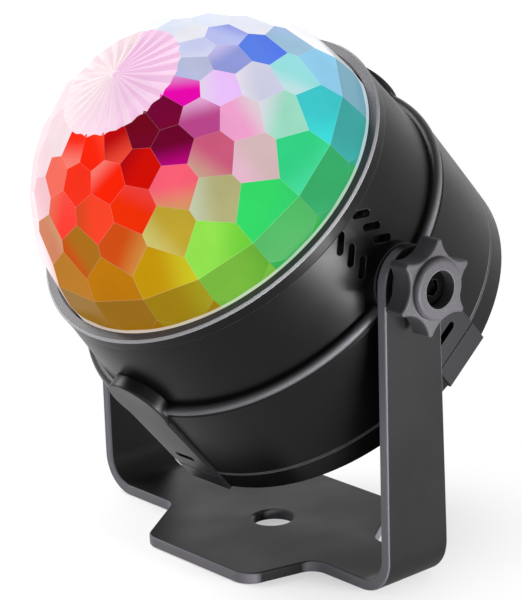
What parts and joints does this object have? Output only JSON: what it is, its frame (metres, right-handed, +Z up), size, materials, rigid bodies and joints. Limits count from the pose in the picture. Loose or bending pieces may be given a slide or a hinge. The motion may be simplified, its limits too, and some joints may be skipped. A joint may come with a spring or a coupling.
{
  "type": "led disco projector",
  "caption": "Tilting table light: a faceted dome turned by a motor on a round drum, held in a U-shaped bracket with star clamp knobs.",
  "frame": {"origin": "centre of the base's mounting hole, on the base's underside", "axes": "+X along the tilt pivot, -Y the way the dome faces, +Z up"},
  "size_m": [0.1188, 0.109, 0.126],
  "materials": {
    "bracket_paint": "satin black powder coat",
    "case_plastic": "satin black, fine grain",
    "bezel_plastic": "satin dark grey",
    "dome_plastic": "clear faceted plastic, lit from inside in all colours",
    "white_plastic": "plain white",
    "steel": "zinc plated",
    "motor_steel": "plain",
    "lamp_aluminium": "plain",
    "white_board": "white solder mask",
    "green_board": "green solder mask",
    "red_light": "emitter",
    "green_light": "emitter",
    "blue_light": "emitter",
    "lens_plastic": "clear",
    "black_steel": "blackened",
    "black_plastic": "plain black",
    "window_plastic": "dark red, clear to the remote's light",
    "button_plastic": "satin dark grey",
    "lead_insulation": "red and black pairs",
    "brass": "plain",
    "washer_rubber": "plain black",
    "knob_plastic": "satin dark grey, moulded"
  },
  "bodies": {
    "bracket": {"bracket": "bracket_paint"},
    "head": {"front_shell": "case_plastic", "bezel_ring": "bezel_plastic", "rear_shell": "case_plastic", "rear_cap": "case_plastic", "gear_motor": "motor_steel", "lamp_plate": "lamp_aluminium", "lamp_board": "white_board", "red_emitter": "red_light", "green_emitter": "green_light", "blue_emitter": "blue_light", "beam_lenses": "lens_plastic", "lamp_screws": "steel", "plate_screws": "steel", "motor_screws": "steel", "board_screws": "steel", "case_screws": "black_steel", "control_board": "green_board", "driver_chips": "black_plastic", "capacitor": "black_plastic", "power_inlet": "black_plastic", "remote_receiver": "black_plastic", "receiver_window": "window_plastic", "microphone": "motor_steel", "push_switch": "black_plastic", "lamp_leads": "lead_insulation", "motor_leads": "lead_insulation", "threaded_inserts": "brass", "friction_washers": "washer_rubber"},
    "dome": {"dome": "dome_plastic", "dome_spindle": "white_plastic", "motor_shaft": "steel"},
    "mode_button": {"mode_button": "button_plastic", "switch_plunger": "white_plastic"},
    "right_washer": {"right_clamp_washer": "knob_plastic"},
    "right_knob": {"right_knob": "knob_plastic", "right_clamp_screw": "black_steel"},
    "left_washer": {"left_clamp_washer": "knob_plastic"},
    "left_knob": {"left_knob": "knob_plastic", "left_clamp_screw": "black_steel"}
  },
  "joints": [
    {"name": "head_tilt", "type": "hinge", "parent": "bracket", "child": "head", "pos_m": [0, -0.0015, 0.071], "axis": [1, 0, 0], "continuous": true},
    {"name": "dome_spin", "type": "hinge", "parent": "head", "child": "dome", "pos_m": [0, -0.01436, 0.08632], "axis": [0, -0.6428, 0.766], "continuous": true},
    {"name": "mode_button_press", "type": "slide", "parent": "head", "child": "mode_button", "axis": [0, -0.6428, 0.766], "range_m": [0, 0.0005], "stiffness_N_per_m": 400},
    {"name": "right_clamp_slide", "type": "slide", "parent": "head", "child": "right_washer", "axis": [1, 0, 0], "range_m": [0, 0.0016]},
    {"name": "right_knob_turn", "type": "hinge", "parent": "right_washer", "child": "right_knob", "pos_m": [0.056, -0.0015, 0.071], "axis": [1, 0, 0], "range_deg": [0, 720]},
    {"name": "left_clamp_slide", "type": "slide", "parent": "head", "child": "left_washer", "axis": [-1, 0, 0], "range_m": [0, 0.0016]},
    {"name": "left_knob_turn", "type": "hinge", "parent": "left_washer", "child": "left_knob", "pos_m": [-0.056, -0.0015, 0.071], "axis": [-1, 0, 0], "range_deg": [0, 720]}
  ],
  "couplings": [
    {"joint": "right_clamp_slide", "follows": "right_knob_turn", "m_per_rad": 0.00012732},
    {"joint": "left_clamp_slide", "follows": "left_knob_turn", "m_per_rad": 0.00012732}
  ]
}
